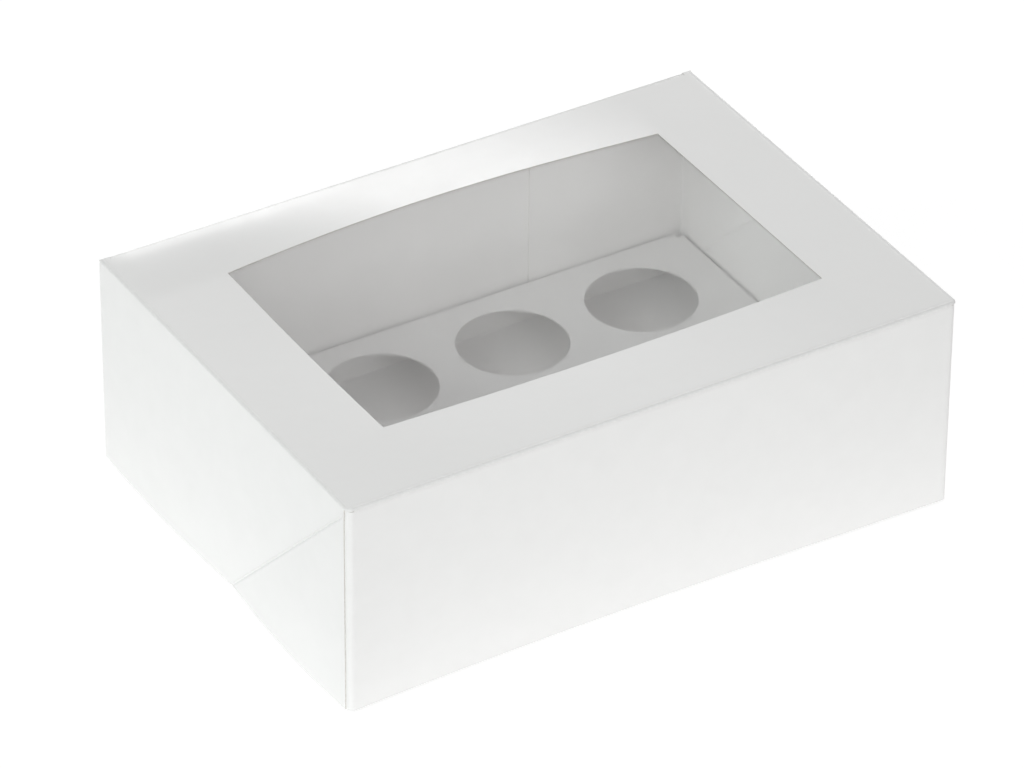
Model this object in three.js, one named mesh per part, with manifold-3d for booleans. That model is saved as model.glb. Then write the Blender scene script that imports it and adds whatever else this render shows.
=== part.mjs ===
// A white card cupcake box for twelve, closed: a glued tray, a full depth hinged lid with a window,
// the clear film glued behind the window, and a card insert with twelve holes that stands in the tray.
// Millimetres. X runs along the box, Y from front to back, Z up. The origin is the middle of the base.

import * as THREE from "three";
import { mergeVertices } from "three/addons/utils/BufferGeometryUtils.js";
import { TessellateModifier } from "three/addons/modifiers/TessellateModifier.js";
import Module from "manifold-3d";

const wasm = await Module();
wasm.setup();

// Outside of the closed box, measured at its folds
const boxLength = 330;
const boxWidth = 235;
const boxHeight = 115;

// Sheets
const board = 0.6;
const filmThickness = 0.2;
const glueLine = 0.25;

// Folds: inside radius of a scored fold, and of the softer turn at the lid's front corners
const innerFold = 0.6;
const innerCorner = 2.4;

// Room between the lid and the tray
const endRoom = 2.9;
const frontRoom = 4.2;
const skirtLift = 1;
const wallDrop = 1.5;
const hingeGap = 0.3;

// Window, by the width of the four strips of board around it
const leftStrip = 46.6;
const rightStrip = 44.5;
const frontStrip = 48.2;
const backStrip = 40.9;
const filmOverlap = 8;

// Glued flaps of the tray's corners and of the lid's front corners
const trayFlapLength = 89.6;
const trayFlapDrop = 2;
const lidFlapLength = 32;
const lidFlapDrop = 9;
const lidFlapTaper = 3;
const skirtEdgeGap = 0.4;

// Relief cut at the back ends of the lid's side folds
const reliefDepth = 2.5;

// Pressed crease lines that let the glued corners fold flat
const creaseWidth = 0.9;
const creaseDepth = 0.25;

// Soft shape that the board has taken: how far each stretch stands off its flat plane
const backStripLift = 5.7;
const frontStripSag = 2.4;
const leftStripSag = 1.2;
const frontSkirtBow = 3.3;
const creasePull = 1.6;
const cornerBulge = 2.1;
const rearBulge = 1.6;

// Where along each stretch the bend is deepest, and how fast the front skirt's bow grows downwards
const liftSkew = 0.9;
const bowSkew = 0.8;
const bowGrowth = 1.3;

// Insert: its height over the tray's floor, its room to the walls, and its grid of holes
const insertHeight = 22;
const insertRoom = 1.2;
const insertCornerCut = 4;
const holeDiameter = 56.4;
const holeColumns = 4;
const holeRows = 3;
const columnPitch = 74;
const rowPitch = 71;

// Fineness of the curved parts
const foldSteps = 3;
const cornerSteps = 5;
const holeSteps = 36;
const longestEdge = 36;
const splitRounds = 12;
const filmEdge = 20;

// How far a cutting block runs past what it cuts
const cutMargin = 20;
const wide = boxLength;

// Finishes
const coatedBoard = { color: 0xe4e4e2, roughness: 0.55, metalness: 0 };
const insideBoard = { color: 0xd9d5d2, roughness: 0.75, metalness: 0 };
const clearFilm = {
  color: 0xf6f8f8,
  roughness: 0.05,
  metalness: 0,
  transparent: true,
  opacity: 0.18,
};

// Places that follow from the sizes above
const foldRadius = innerFold + board;
const cornerRadius = innerCorner + board;
const left = -boxLength / 2;
const right = boxLength / 2;
const front = -boxWidth / 2;
const back = boxWidth / 2;
const trayLeft = left + board + endRoom;
const trayRight = -trayLeft;
const trayFront = front + board + frontRoom;
const wallTop = boxHeight - board - wallDrop;
const windowLeft = left + leftStrip;
const windowRight = right - rightStrip;
const windowFront = front + frontStrip;
const windowBack = back - backStrip;
const hingeY = back - board / 2;
const hingeZ = boxHeight - board / 2;
const lidBack = hingeY - board / 2 - hingeGap;
const skirtDepth = boxHeight - skirtLift;

// A closed three.js geometry as a solid for cutting and joining
function solidOf(geometry) {
  const bare = geometry.clone();
  bare.deleteAttribute("normal");
  bare.deleteAttribute("uv");
  const merged = mergeVertices(bare, 1e-4);
  return new wasm.Manifold(
    new wasm.Mesh({
      numProp: 3,
      vertProperties: merged.attributes.position.array,
      triVerts: new Uint32Array(merged.index.array),
    }),
  );
}

// A cut or joined solid back as a three.js geometry of loose triangles
function geometryOf(solid) {
  const mesh = solid.getMesh();
  const geometry = new THREE.BufferGeometry();
  geometry.setAttribute("position", new THREE.BufferAttribute(mesh.vertProperties, 3));
  geometry.setIndex(new THREE.BufferAttribute(mesh.triVerts, 1));
  return geometry.toNonIndexed();
}

// A solid block between two corners
function block(low, high) {
  const size = high.map((value, axis) => value - low[axis]);
  const geometry = new THREE.BoxGeometry(...size);
  geometry.translate(...low.map((value, axis) => value + size[axis] / 2));
  return solidOf(geometry);
}

// A rectangle with its own radius at the front pair and at the back pair of corners
function roundedRectangle(x0, x1, y0, y1, frontRadius, backRadius) {
  const shape = new THREE.Shape();
  shape.moveTo(x0 + frontRadius, y0);
  shape.lineTo(x1 - frontRadius, y0);
  shape.absarc(x1 - frontRadius, y0 + frontRadius, frontRadius, -Math.PI / 2, 0, false);
  shape.lineTo(x1, y1 - backRadius);
  shape.absarc(x1 - backRadius, y1 - backRadius, backRadius, 0, Math.PI / 2, false);
  shape.lineTo(x0 + backRadius, y1);
  shape.absarc(x0 + backRadius, y1 - backRadius, backRadius, Math.PI / 2, Math.PI, false);
  shape.lineTo(x0, y0 + frontRadius);
  shape.absarc(x0 + frontRadius, y0 + frontRadius, frontRadius, Math.PI, Math.PI * 1.5, false);
  return shape;
}

// A block whose outline is a rounded rectangle and whose top and bottom edges have the fold's radius
function foldedBlock(outline, z0, z1, radius) {
  const shape = roundedRectangle(
    outline.x0 + radius,
    outline.x1 - radius,
    outline.y0 + radius,
    outline.y1 - radius,
    outline.frontRadius - radius,
    outline.backRadius - radius,
  );
  const geometry = new THREE.ExtrudeGeometry(shape, {
    depth: z1 - z0 - 2 * radius,
    curveSegments: cornerSteps,
    bevelEnabled: true,
    bevelThickness: radius,
    bevelSize: radius,
    bevelSegments: foldSteps,
  });
  geometry.translate(0, 0, z0 + radius);
  return solidOf(geometry);
}

// The same outline one board further in
function inwards(outline) {
  return {
    x0: outline.x0 + board,
    x1: outline.x1 - board,
    y0: outline.y0 + board,
    y1: outline.y1 - board,
    frontRadius: outline.frontRadius - board,
    backRadius: outline.backRadius - board,
  };
}

// A flat outline in the plane of a side wall, made a sheet between two places along X
function sideSheet(points, x0, x1) {
  const shape = new THREE.Shape(points.map(([y, z]) => new THREE.Vector2(y, z)));
  const geometry = new THREE.ExtrudeGeometry(shape, { depth: x1 - x0, bevelEnabled: false });
  geometry.rotateY(Math.PI / 2);
  geometry.rotateX(Math.PI / 2);
  geometry.translate(x0, 0, 0);
  return solidOf(geometry);
}

// The cutter for a pressed crease across a side wall's outer face, from one corner at 45 degrees
function creaseCutter(faceX, startY, startZ, directionY, directionZ, depthOfWall) {
  const length = depthOfWall * Math.SQRT2 + cutMargin;
  const geometry = new THREE.CylinderGeometry(creaseWidth / 2, creaseWidth / 2, length, 4);
  geometry.translate(0, length / 2, 0);
  const along = new THREE.Vector3(0, directionY, directionZ).normalize();
  const turn = new THREE.Quaternion().setFromUnitVectors(new THREE.Vector3(0, 1, 0), along);
  geometry.applyQuaternion(turn);
  const outwards = Math.sign(faceX);
  geometry.translate(faceX + outwards * (creaseWidth / 2 - creaseDepth), startY, startZ);
  return solidOf(geometry);
}

// A stretch along an axis from near to far of the middle, on one side of it
function stretch(side, near, far) {
  return side < 0 ? [-far, -near] : [near, far];
}

// The glued tray: floor, four walls with scored folds, and a flap inside each corner
function trayGeometry() {
  const outline = {
    x0: trayLeft,
    x1: trayRight,
    y0: trayFront,
    y1: back,
    frontRadius: foldRadius + board,
    backRadius: foldRadius + board,
  };
  const far = boxHeight + cutMargin;
  const outside = foldedBlock(outline, 0, far, foldRadius);
  const inside = foldedBlock(inwards(outline), board, far + cutMargin, foldRadius - board);
  let tray = outside.subtract(inside);

  const backCorner = outline.backRadius;
  tray = tray.subtract(block([-wide, -wide, wallTop], [wide, back - 2 * board, far + cutMargin]));
  tray = tray.subtract(
    block([-wide, -wide, wallTop], [trayLeft + backCorner, wide, far + cutMargin]),
  );
  tray = tray.subtract(
    block([trayRight - backCorner, -wide, wallTop], [wide, wide, far + cutMargin]),
  );
  tray = tray.subtract(block([-wide, -wide, hingeZ], [wide, wide, far + cutMargin]));

  const hingeLength = trayRight - trayLeft - 2 * backCorner;
  const bead = new THREE.CylinderGeometry(board / 2, board / 2, hingeLength, 2 * foldSteps);
  bead.rotateZ(Math.PI / 2);
  bead.translate(0, hingeY, hingeZ);
  tray = tray.add(solidOf(bead));

  const flapLow = board / 2;
  const flapHigh = wallTop - trayFlapDrop;
  for (const side of [-1, 1]) {
    const [x0, x1] = stretch(side, trayRight - trayFlapLength, trayRight - board / 2);
    const frontInner = trayFront + board;
    const backInner = back - board;
    tray = tray.add(
      block([x0, frontInner - board / 2, flapLow], [x1, frontInner + board, flapHigh]),
    );
    tray = tray.add(block([x0, backInner - board, flapLow], [x1, backInner + board / 2, flapHigh]));
    tray = tray.subtract(creaseCutter(side * trayRight, trayFront, 0, 1, 1, wallTop));
    tray = tray.subtract(creaseCutter(side * trayRight, back, 0, -1, 1, wallTop));
  }
  return geometryOf(tray);
}

// How far along the window a place lies, from 0 at one end to 1 at the other
function share(value, low, high) {
  return THREE.MathUtils.clamp((value - low) / (high - low), 0, 1);
}

// Height of the lid's top over its flat plane: the strips around the window have bent a little
function topLift(x, y) {
  const along = share(x, windowLeft, windowRight);
  const across = share(y, windowFront, windowBack);
  const backEdge = backStripLift * Math.sin(Math.PI * along ** liftSkew);
  const frontEdge = -frontStripSag * Math.sin(Math.PI * along);
  const leftEdge = -leftStripSag * Math.sin(Math.PI * across);
  const toHinge = share(y, lidBack, windowBack);
  const toFrontFold = share(y, front + foldRadius, windowFront);
  const toLeftFold = share(x, left + foldRadius, windowLeft);
  const inWindow = THREE.MathUtils.lerp(frontEdge, backEdge, across);
  const fromEnds = y > windowBack ? backEdge * toHinge : inWindow;
  const acrossBox = y < windowFront ? frontEdge * toFrontFold : fromEnds;
  const awayFromLeft = 1 - share(x, windowLeft, windowRight);
  return acrossBox + leftEdge * toLeftFold * awayFromLeft;
}

// How far a side skirt stands out from its flat plane: pulled in along the crease, full on each side
function sideStand(fromFront, down) {
  if (down <= 0) return 0;
  const depth = down / skirtDepth;
  if (fromFront < down) {
    const part = fromFront / down;
    return depth * (cornerBulge * Math.sin(Math.PI * part) - creasePull * part);
  }
  const part = share(fromFront, down, boxWidth);
  return depth * (rearBulge * Math.sin(Math.PI * part) - creasePull * (1 - part));
}

// How far the front skirt is bowed in, most at the middle of its bottom edge
function frontBow(x, down) {
  const along = share(x, left, right);
  const growth = share(down, 0, skirtDepth) ** bowGrowth;
  return frontSkirtBow * Math.sin(Math.PI * along ** bowSkew) * growth;
}

// Moves each point of the flat lid to where the bent board has it
function bendLid(geometry) {
  const position = geometry.attributes.position;
  for (let i = 0; i < position.count; i += 1) {
    const x = position.getX(i);
    const y = position.getY(i);
    const z = position.getZ(i);
    const down = boxHeight - foldRadius - z;
    if (down <= 0) {
      position.setZ(i, z + topLift(x, y));
      continue;
    }
    const onSide = share(Math.abs(x), right - board - cornerRadius, right - 2 * board);
    const onFront = share(-y, -(front + cornerRadius), -(front + board));
    const stand = onSide * sideStand(Math.max(y - front, 0), down);
    position.setX(i, x + Math.sign(x) * stand);
    position.setY(i, y + onFront * frontBow(x, down));
  }
  return geometry;
}

// The turn of the front skirt round a corner, and the flap it ends in behind the side skirt
function lidCorner(side) {
  const flapOuter = right - board;
  const centreX = flapOuter - cornerRadius;
  const centreY = front + cornerRadius;
  const topZ = boxHeight - foldRadius - skirtEdgeGap;
  const turn = new THREE.Shape();
  turn.moveTo(centreX - cornerRadius, front);
  turn.lineTo(centreX, front);
  turn.absarc(centreX, centreY, cornerRadius, -Math.PI / 2, 0, false);
  turn.lineTo(flapOuter, centreY + board);
  turn.lineTo(flapOuter - board, centreY + board);
  turn.lineTo(flapOuter - board, centreY);
  turn.absarc(centreX, centreY, cornerRadius - board, 0, -Math.PI / 2, true);
  turn.lineTo(centreX - cornerRadius, front + board);
  const geometry = new THREE.ExtrudeGeometry(turn, {
    depth: topZ - skirtLift,
    curveSegments: cornerSteps,
    bevelEnabled: false,
  });
  geometry.translate(0, 0, skirtLift);
  if (side < 0) {
    geometry.rotateY(Math.PI);
    geometry.translate(0, 0, skirtLift + topZ);
  }
  const [flapX0, flapX1] = stretch(side, flapOuter - board, flapOuter + board / 2);
  const flap = sideSheet(
    [
      [centreY, skirtLift],
      [centreY + lidFlapLength - lidFlapTaper, skirtLift],
      [centreY + lidFlapLength, topZ - lidFlapLength - lidFlapDrop],
      [centreY, topZ],
    ],
    flapX0,
    flapX1,
  );
  const reach = block(
    [flapX0, centreY + skirtEdgeGap, skirtLift],
    [flapX1, centreY + lidFlapLength, topZ],
  );
  return solidOf(geometry).add(flap.intersect(reach));
}

// The lid: top with its window, front skirt, two side skirts and their glued front corners
function lidGeometry() {
  const outline = {
    x0: left,
    x1: right,
    y0: front,
    y1: back + cutMargin,
    frontRadius: cornerRadius,
    backRadius: cornerRadius,
  };
  const low = -cutMargin;
  const outside = foldedBlock(outline, low, boxHeight, foldRadius);
  const inside = foldedBlock(
    { ...inwards(outline), y1: outline.y1 + cutMargin },
    low - cutMargin,
    boxHeight - board,
    foldRadius - board,
  );
  let lid = outside.subtract(inside);

  const underTop = boxHeight - foldRadius;
  lid = lid.subtract(block([-wide, -wide, low - cutMargin], [wide, wide, skirtLift]));
  lid = lid.subtract(block([-wide, back, low], [wide, wide, boxHeight + board]));
  lid = lid.subtract(
    block([left + board, lidBack, skirtLift], [right - board, wide, boxHeight + board]),
  );
  lid = lid.subtract(
    block([windowLeft, windowFront, underTop], [windowRight, windowBack, boxHeight + board]),
  );
  for (const side of [-1, 1]) {
    const [reliefX0, reliefX1] = stretch(side, trayRight, right - board);
    lid = lid.subtract(
      block([reliefX0, back - reliefDepth, underTop], [reliefX1, wide, boxHeight + board]),
    );
    const [turnX0, turnX1] = stretch(side, right - board - cornerRadius, wide);
    const skirtFront = front + cornerRadius + skirtEdgeGap;
    lid = lid.subtract(
      block([turnX0, -wide, skirtLift - board], [turnX1, skirtFront, underTop]),
    );
    lid = lid.add(lidCorner(side));
    lid = lid.subtract(creaseCutter(side * right, front, boxHeight, 1, -1, boxHeight));
  }
  const fine = new TessellateModifier(longestEdge, splitRounds).modify(geometryOf(lid));
  return bendLid(fine);
}

// Place of one line of the film's grid: the first and last stretch are the glued margins
function filmLine(index, lines, low, high) {
  if (index === 0) return low - filmOverlap;
  if (index === lines) return high + filmOverlap;
  return low + ((index - 1) / (lines - 2)) * (high - low);
}

// The clear film, glued under the lid's top all round the window and bent with it
function filmGeometry() {
  const across = Math.ceil((windowRight - windowLeft) / filmEdge) + 2;
  const deep = Math.ceil((windowBack - windowFront) / filmEdge) + 2;
  const geometry = new THREE.BoxGeometry(across, deep, filmThickness, across, deep, 1);
  const middle = boxHeight - board - glueLine - filmThickness / 2;
  const position = geometry.attributes.position;
  for (let i = 0; i < position.count; i += 1) {
    const column = Math.round(position.getX(i) + across / 2);
    const row = Math.round(position.getY(i) + deep / 2);
    const x = filmLine(column, across, windowLeft, windowRight);
    const y = filmLine(row, deep, windowFront, windowBack);
    position.setXYZ(i, x, y, position.getZ(i) + middle + topLift(x, y));
  }
  return geometry;
}

// The insert: a plate with a grid of round holes, on four legs folded down to the tray's floor
function insertGeometry() {
  const halfLength = trayRight - board - insertRoom;
  const innerWidth = back - trayFront - 4 * board;
  const halfWidth = innerWidth / 2 - insertRoom;
  const outline = {
    x0: -halfLength,
    x1: halfLength,
    y0: -halfWidth,
    y1: halfWidth,
    frontRadius: foldRadius + board,
    backRadius: foldRadius + board,
  };
  const outside = foldedBlock(outline, -cutMargin, insertHeight, foldRadius);
  const inside = foldedBlock(
    inwards(outline),
    -2 * cutMargin,
    insertHeight - board,
    foldRadius - board,
  );
  let insert = outside.subtract(inside);
  insert = insert.subtract(block([-wide, -wide, -2 * cutMargin], [wide, wide, 0]));
  for (const sideX of [-1, 1]) {
    for (const sideY of [-1, 1]) {
      const [x0, x1] = stretch(sideX, halfLength - insertCornerCut, wide);
      const [y0, y1] = stretch(sideY, halfWidth - insertCornerCut, wide);
      insert = insert.subtract(block([x0, y0, -board], [x1, y1, wide]));
    }
  }
  for (let column = 0; column < holeColumns; column += 1) {
    for (let row = 0; row < holeRows; row += 1) {
      const hole = new THREE.CylinderGeometry(
        holeDiameter / 2,
        holeDiameter / 2,
        insertHeight,
        holeSteps,
      );
      hole.rotateX(Math.PI / 2);
      hole.translate(
        (column - (holeColumns - 1) / 2) * columnPitch,
        (row - (holeRows - 1) / 2) * rowPitch,
        insertHeight,
      );
      insert = insert.subtract(solidOf(hole));
    }
  }
  return geometryOf(insert);
}

// A named mesh with its own finish
function piece(name, geometry, finish) {
  geometry.computeVertexNormals();
  const mesh = new THREE.Mesh(geometry, new THREE.MeshStandardMaterial(finish));
  mesh.name = name;
  return mesh;
}

const cupcakeBox = new THREE.Group();

const trayGroup = new THREE.Group();
trayGroup.add(piece("base_tray", trayGeometry(), coatedBoard));
const insertGroup = new THREE.Group();
insertGroup.position.set(0, (trayFront + back) / 2, board);
insertGroup.add(piece("cupcake_insert", insertGeometry(), insideBoard));
trayGroup.add(insertGroup);
cupcakeBox.add(trayGroup);

// The lid turns about the top edge of the tray's back wall, so its group stands on that line
const lidGroup = new THREE.Group();
lidGroup.position.set(0, hingeY, hingeZ);
lidGroup.add(piece("lid", lidGeometry().translate(0, -hingeY, -hingeZ), coatedBoard));
lidGroup.add(piece("window_film", filmGeometry().translate(0, -hingeY, -hingeZ), clearFilm));
cupcakeBox.add(lidGroup);

export default cupcakeBox;
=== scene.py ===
"""Looks of a white card cupcake box: lid with a film window, tray, insert, and the studio round them."""

import logging
import math
from dataclasses import dataclass, field
from enum import Enum
from typing import Callable, Sequence

import bmesh
import bpy
from mathutils import Matrix, Vector


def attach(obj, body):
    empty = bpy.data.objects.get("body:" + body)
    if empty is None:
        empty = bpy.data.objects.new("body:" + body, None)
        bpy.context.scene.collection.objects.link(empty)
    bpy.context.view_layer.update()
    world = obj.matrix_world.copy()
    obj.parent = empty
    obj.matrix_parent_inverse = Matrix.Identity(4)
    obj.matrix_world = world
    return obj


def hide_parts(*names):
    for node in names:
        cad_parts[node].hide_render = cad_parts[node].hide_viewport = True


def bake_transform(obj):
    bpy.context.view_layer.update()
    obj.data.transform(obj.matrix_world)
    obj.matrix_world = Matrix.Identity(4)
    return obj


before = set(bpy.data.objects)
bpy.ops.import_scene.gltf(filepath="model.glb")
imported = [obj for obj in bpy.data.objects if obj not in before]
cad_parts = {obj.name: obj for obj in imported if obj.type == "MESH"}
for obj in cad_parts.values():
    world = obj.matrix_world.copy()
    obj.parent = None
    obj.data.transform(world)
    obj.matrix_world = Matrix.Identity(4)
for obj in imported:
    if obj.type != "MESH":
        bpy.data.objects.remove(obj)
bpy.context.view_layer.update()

log = logging.getLogger("cupcake_box")

Spot = tuple[float, float, float, float]
Row = list[Spot]
Triple = tuple[float, float, float]

WELD = 2e-6
TINY_EDGE = 1e-6
TOUCH = 1e-9


class Finish(Enum):
    """Names of the record's material slots."""

    WHITE_BOARD = "white_board"
    INSERT_BOARD = "insert_board"
    CLEAR_FILM = "clear_film"


class Body(Enum):
    """The two bodies of the box."""

    TRAY = "tray"
    LID = "lid"


def share(value: float, low: float, high: float) -> float:
    """Tells how far a value lies between two others.

    Args:
        value: The value to place.
        low: Where the share is 0.
        high: Where the share is 1.

    Returns:
        The share, held between 0 and 1.
    """
    return min(1.0, max(0.0, (value - low) / (high - low)))


def mix(start: float, end: float, part: float) -> float:
    """Returns the value that lies the given part of the way from start to end."""
    return start + (end - start) * part


def stations(stops: Sequence[float], pitch: float) -> list[float]:
    """Splits the stretches between stops into even steps.

    Args:
        stops: Places that the list must hold, in rising order.
        pitch: The longest step allowed.

    Returns:
        All places, the stops among them.
    """
    places = [stops[0]]
    for low, high in zip(stops, stops[1:]):
        count = max(1, math.ceil((high - low) / pitch - 1e-6))
        places += [mix(low, high, step / count) for step in range(1, count + 1)]
    return places


@dataclass(frozen=True)
class BoxForm:
    """Sizes of the closed box in metres, and the bends that its board has taken."""

    length: float = 0.330
    width: float = 0.235
    height: float = 0.115
    board: float = 0.0006
    inner_fold: float = 0.0006
    inner_corner: float = 0.0024
    end_room: float = 0.0029
    front_room: float = 0.0042
    skirt_lift: float = 0.001
    wall_drop: float = 0.0015
    hinge_gap: float = 0.0003
    left_strip: float = 0.0466
    right_strip: float = 0.0445
    front_strip: float = 0.0482
    back_strip: float = 0.0409
    film_overlap: float = 0.008
    relief_depth: float = 0.0025
    skirt_edge_gap: float = 0.0004
    back_strip_lift: float = 0.0057
    back_roll: float = 0.0015
    back_roll_skew: float = 0.7
    back_roll_fade: float = 0.1
    front_strip_sag: float = 0.0024
    left_strip_sag: float = 0.0012
    front_skirt_bow: float = 0.0033
    crease_pull: float = 0.0016
    corner_bulge: float = 0.0021
    rear_bulge: float = 0.0016
    lift_skew: float = 0.9
    bow_skew: float = 0.8
    bow_growth: float = 1.3

    @property
    def half(self) -> float:
        """Half of the board's thickness."""
        return self.board / 2

    @property
    def fold(self) -> float:
        """Outside radius of a scored fold."""
        return self.inner_fold + self.board

    @property
    def corner(self) -> float:
        """Outside radius of the turn at the lid's front corners."""
        return self.inner_corner + self.board

    @property
    def right(self) -> float:
        """Outside of the lid's right end."""
        return self.length / 2

    @property
    def front(self) -> float:
        """Outside of the lid's front."""
        return -self.width / 2

    @property
    def back(self) -> float:
        """Outside of the back wall."""
        return self.width / 2

    @property
    def tray_right(self) -> float:
        """Outside of the tray's right end wall."""
        return self.right - self.board - self.end_room

    @property
    def tray_front(self) -> float:
        """Outside of the tray's front wall."""
        return self.front + self.board + self.front_room

    @property
    def wall_top(self) -> float:
        """Top edge of the tray's walls."""
        return self.height - self.board - self.wall_drop

    @property
    def window_x(self) -> tuple[float, float]:
        """Left and right edge of the window."""
        return -self.right + self.left_strip, self.right - self.right_strip

    @property
    def window_y(self) -> tuple[float, float]:
        """Front and back edge of the window."""
        return self.front + self.front_strip, self.back - self.back_strip

    @property
    def skirt_depth(self) -> float:
        """Height of the lid's skirts."""
        return self.height - self.skirt_lift

    @property
    def hinge_half_length(self) -> float:
        """Half of the scored line that joins the lid to the back wall."""
        return self.tray_right - self.fold - self.board

    def top_lift(self, x: float, y: float) -> float:
        """Tells how far the lid's top stands over its flat plane.

        Args:
            x: Place along the box.
            y: Place across the box.

        Returns:
            The lift, under 0 where the board sags.
        """
        left, right = self.window_x
        front, back = self.window_y
        along = share(x, left, right)
        across = share(y, front, back)
        back_edge = self.back_strip_lift * math.sin(math.pi * along**self.lift_skew)
        front_edge = -self.front_strip_sag * math.sin(math.pi * along)
        left_edge = -self.left_strip_sag * math.sin(math.pi * across)
        hinge_line = self.back - self.board - self.hinge_gap
        if y > back:
            from_hinge = share(y, hinge_line, back)
            lift = back_edge * from_hinge + self.hinge_roll(x, from_hinge)
        elif y < front:
            lift = front_edge * share(y, self.front + self.fold, front)
        else:
            lift = mix(front_edge, back_edge, across)
        to_left_fold = share(x, -self.right + self.fold, left)
        return lift + left_edge * to_left_fold * (1 - along)

    def hinge_roll(self, x: float, from_hinge: float) -> float:
        """Tells how far the strip behind the window rolls up beside the hinge, at its left end.

        Args:
            x: Place along the box.
            from_hinge: Share of the way from the hinge to the window.

        Returns:
            The lift.
        """
        left = self.window_x[0]
        rise = share(x, -self.right + self.fold, -self.right + self.back_strip / 4)
        fade = 1 - share(x, left, left + self.back_roll_fade)
        return self.back_roll * rise * fade * math.sin(math.pi * from_hinge**self.back_roll_skew)

    def side_stand(self, from_front: float, down: float) -> float:
        """Tells how far a side skirt stands out from its flat plane.

        Args:
            from_front: Distance from the lid's front.
            down: Depth under the fold.

        Returns:
            The stand, under 0 where the crease pulls the board in.
        """
        if down <= 0:
            return 0.0
        depth = down / self.skirt_depth
        if from_front < down:
            part = from_front / down
            return depth * (self.corner_bulge * math.sin(math.pi * part) - self.crease_pull * part)
        part = share(from_front, down, self.width)
        return depth * (self.rear_bulge * math.sin(math.pi * part) - self.crease_pull * (1 - part))

    def front_bow(self, x: float, down: float) -> float:
        """Tells how far the front skirt is bowed in.

        Args:
            x: Place along the box.
            down: Depth under the fold.

        Returns:
            The bow, largest at the middle of the bottom edge.
        """
        along = share(x, -self.right, self.right)
        growth = share(down, 0, self.skirt_depth) ** self.bow_growth
        return self.front_skirt_bow * math.sin(math.pi * along**self.bow_skew) * growth

    def bend(self, x: float, y: float, z: float) -> Vector:
        """Moves a point of the flat lid to where the bent board has it.

        Args:
            x: Place along the flat lid.
            y: Place across the flat lid.
            z: Height on the flat lid.

        Returns:
            The point on the bent lid.
        """
        down = self.height - self.fold - z
        if down <= 0:
            return Vector((x, y, z + self.top_lift(x, y)))
        turn = self.right - self.board - self.corner
        on_side = share(abs(x), turn, self.right - 2 * self.board)
        on_front = share(-y, -(self.front + self.corner), -(self.front + self.board))
        stand = on_side * self.side_stand(max(y - self.front, 0), down)
        return Vector((x + math.copysign(1.0, x) * stand,
                       y + on_front * self.front_bow(x, down), z))

    def stay(self, x: float, y: float, z: float) -> Vector:
        """Leaves a point where it is, for the flat pieces."""
        return Vector((x, y, z))


class Sheet:
    """The middle surface of one folded sheet, gathered from patches that share their border points."""

    def __init__(self, name: str, place: Callable[[float, float, float], Vector]) -> None:
        """Starts an empty sheet.

        Args:
            name: Name of the piece.
            place: Moves each flat point to its bent place.
        """
        self.name = name
        self.place = place
        self.mesh = bmesh.new()
        self.fold_layer = self.mesh.verts.layers.float.new("fold")

    def patch(self, rows: list[Row], keep: Callable[[int, int], bool] | None = None) -> None:
        """Adds a patch of four-sided faces.

        Args:
            rows: Points in rows of equal length: x, y, z and how much of a fold it is.
            keep: Tells which cells are kept, by row and column. All are, without it.
        """
        grid = []
        for row in rows:
            line = []
            for x, y, z, fold in row:
                vertex = self.mesh.verts.new(self.place(x, y, z))
                vertex[self.fold_layer] = fold
                line.append(vertex)
            grid.append(line)
        for i in range(len(grid) - 1):
            for j in range(len(grid[i]) - 1):
                if keep is None or keep(i, j):
                    self.mesh.faces.new((grid[i][j], grid[i][j + 1], grid[i + 1][j + 1], grid[i + 1][j]))

    def add_mesh(self, mesh: bpy.types.Mesh) -> None:
        """Adds the faces of a plain mesh to the sheet."""
        self.mesh.from_mesh(mesh)

    def close(self, thickness: float, materials: Sequence[bpy.types.Material]) -> bpy.types.Object:
        """Joins the patches and gives the sheet its thickness.

        Args:
            thickness: Thickness of the sheet.
            materials: Finish of the outer face, of the inner face and of the cut edge.

        Returns:
            The finished piece.
        """
        bmesh.ops.remove_doubles(self.mesh, verts=self.mesh.verts, dist=WELD)
        bmesh.ops.dissolve_degenerate(self.mesh, dist=TINY_EDGE, edges=self.mesh.edges)
        loose = [vertex for vertex in self.mesh.verts if not vertex.link_faces]
        bmesh.ops.delete(self.mesh, geom=loose, context="VERTS")
        bmesh.ops.recalc_face_normals(self.mesh, faces=self.mesh.faces)
        data = bpy.data.meshes.new(self.name)
        self.mesh.to_mesh(data)
        self.mesh.free()
        piece = bpy.data.objects.new(self.name, data)
        bpy.context.scene.collection.objects.link(piece)
        for material in materials:
            data.materials.append(material)
        solid = piece.modifiers.new("thickness", "SOLIDIFY")
        solid.thickness = thickness
        solid.offset = 0.0
        solid.use_even_offset = True
        solid.use_quality_normals = True
        solid.material_offset = 1
        solid.material_offset_rim = 2
        return piece


def outwards(sheet: Sheet, spot: Vector) -> None:
    """Turns a whole sheet round if its face nearest to a spot looks away from that spot.

    Args:
        sheet: The sheet, with its patches added.
        spot: A place on the side where the outer face is.
    """
    bmesh.ops.remove_doubles(sheet.mesh, verts=sheet.mesh.verts, dist=WELD)
    bmesh.ops.recalc_face_normals(sheet.mesh, faces=sheet.mesh.faces)
    faces = list(sheet.mesh.faces)
    near = min(faces, key=lambda face: (face.calc_center_median() - spot).length)
    if near.normal.dot(spot - near.calc_center_median()) < 0:
        bmesh.ops.reverse_faces(sheet.mesh, faces=faces)


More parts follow.
